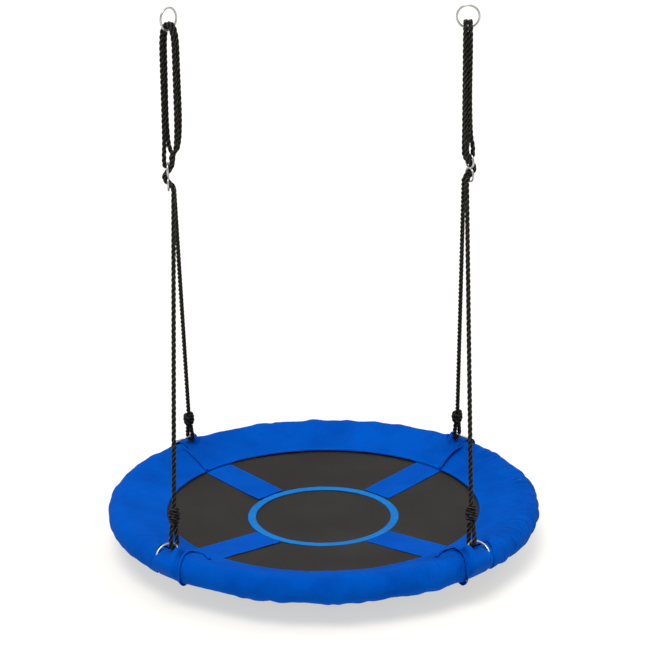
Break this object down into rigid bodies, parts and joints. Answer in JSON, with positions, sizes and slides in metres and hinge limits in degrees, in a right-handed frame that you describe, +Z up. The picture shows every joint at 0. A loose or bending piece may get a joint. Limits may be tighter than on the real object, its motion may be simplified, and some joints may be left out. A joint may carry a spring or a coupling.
{
  "type": "saucer nest swing",
  "caption": "Round nest swing: padded steel hoop with a mesh seat, crossed straps and a sleeve cover, hung on knotted ropes with adjusters and steel rings.",
  "frame": {"origin": "middle of the line between the centres of the two top rings, which hooks hold", "axes": "+Z up, +X from the left top ring to the right one, -Y towards the front"},
  "size_m": [1.0053, 1.0054, 1.2239],
  "materials": {
    "ring_steel": "bright zinc-plated round wire",
    "rope": "black three-strand twisted polypropylene",
    "tube_steel": "powder-coated steel tube",
    "screw_steel": "zinc-plated screw",
    "foam": "closed-cell foam",
    "mesh": "dark woven mesh",
    "trim": "light blue satin band",
    "cover_cloth": "blue coated Oxford cloth",
    "webbing": "blue woven webbing"
  },
  "bodies": {
    "hook_rings": {"top_ring_left": "ring_steel", "top_ring_right": "ring_steel"},
    "rope_bights": {"rope_bights_left": "rope", "rope_bights_right": "rope"},
    "left_falls": {"rope_falls_left": "rope"},
    "left_adjuster": {"adjuster_left": "ring_steel", "rope_weave_left": "rope"},
    "left_legs": {"rope_leg_front_left": "rope", "rope_knot_front_left": "rope", "rope_eye_front_left": "rope", "rope_leg_rear_left": "rope", "rope_knot_rear_left": "rope", "rope_eye_rear_left": "rope"},
    "saucer": {"rim_ring_front_left": "ring_steel", "rim_ring_rear_left": "ring_steel", "rim_ring_front_right": "ring_steel", "rim_ring_rear_right": "ring_steel", "frame_tube_right": "tube_steel", "frame_tube_rear": "tube_steel", "frame_tube_left": "tube_steel", "frame_tube_front": "tube_steel", "joint_sleeve_right": "tube_steel", "joint_sleeve_rear": "tube_steel", "joint_sleeve_left": "tube_steel", "joint_sleeve_front": "tube_steel", "joint_screws": "screw_steel", "foam_right": "foam", "foam_rear": "foam", "foam_left": "foam", "foam_front": "foam", "mat": "mesh", "centre_trim": "trim", "cover": "cover_cloth", "cuff_front_left": "cover_cloth", "cuff_rear_left": "cover_cloth", "cuff_front_right": "cover_cloth", "cuff_rear_right": "cover_cloth", "strap_front_left": "webbing", "strap_rear_left": "webbing", "strap_front_right": "webbing", "strap_rear_right": "webbing", "ring_loop_front_left": "webbing", "ring_loop_rear_left": "webbing", "ring_loop_front_right": "webbing", "ring_loop_rear_right": "webbing"},
    "right_falls": {"rope_falls_right": "rope"},
    "right_adjuster": {"adjuster_right": "ring_steel", "rope_weave_right": "rope"},
    "right_legs": {"rope_leg_front_right": "rope", "rope_knot_front_right": "rope", "rope_eye_front_right": "rope", "rope_leg_rear_right": "rope", "rope_knot_rear_right": "rope", "rope_eye_rear_right": "rope"}
  },
  "joints": [
    {"name": "swing", "type": "hinge", "parent": "hook_rings", "child": "rope_bights", "pos_m": [0, 0, -0.017], "axis": [1, 0, 0], "range_deg": [-35, 35]},
    {"name": "sway_left", "type": "hinge", "parent": "rope_bights", "child": "left_falls", "pos_m": [-0.33, 0, -0.017], "axis": [0, 1, 0], "range_deg": [-15, 15]},
    {"name": "adjust_left", "type": "slide", "parent": "left_falls", "child": "left_adjuster", "axis": [0, 0, 1], "range_m": [-0.1, 0.1], "deforming": ["rope_falls_left"]},
    {"name": "leg_length_left", "type": "slide", "parent": "left_adjuster", "child": "left_legs", "axis": [0, 0, 1], "range_m": [-0.22, 0.22], "deforming": ["rope_leg_front_left", "rope_leg_rear_left"]},
    {"name": "sway_right", "type": "hinge", "parent": "rope_bights", "child": "right_falls", "pos_m": [0.33, 0, -0.017], "axis": [0, 1, 0], "range_deg": [-15, 15]},
    {"name": "adjust_right", "type": "slide", "parent": "right_falls", "child": "right_adjuster", "axis": [0, 0, 1], "range_m": [-0.1, 0.1], "deforming": ["rope_falls_right"]},
    {"name": "leg_length_right", "type": "slide", "parent": "right_adjuster", "child": "right_legs", "axis": [0, 0, 1], "range_m": [-0.22, 0.22], "deforming": ["rope_leg_front_right", "rope_leg_rear_right"]},
    {"name": "saucer_level", "type": "hinge", "parent": "left_legs", "child": "saucer", "pos_m": [-0.33, 0, -1.112], "axis": [0, 1, 0], "range_deg": [-15, 15]}
  ],
  "couplings": [
    {"joint": "sway_right", "follows": "sway_left", "ratio": 1},
    {"joint": "saucer_level", "follows": "sway_left", "ratio": -1},
    {"joint": "adjust_right", "follows": "adjust_left", "ratio": 1},
    {"joint": "leg_length_left", "follows": "adjust_left", "ratio": -2.2},
    {"joint": "leg_length_right", "follows": "adjust_left", "ratio": -2.2}
  ]
}
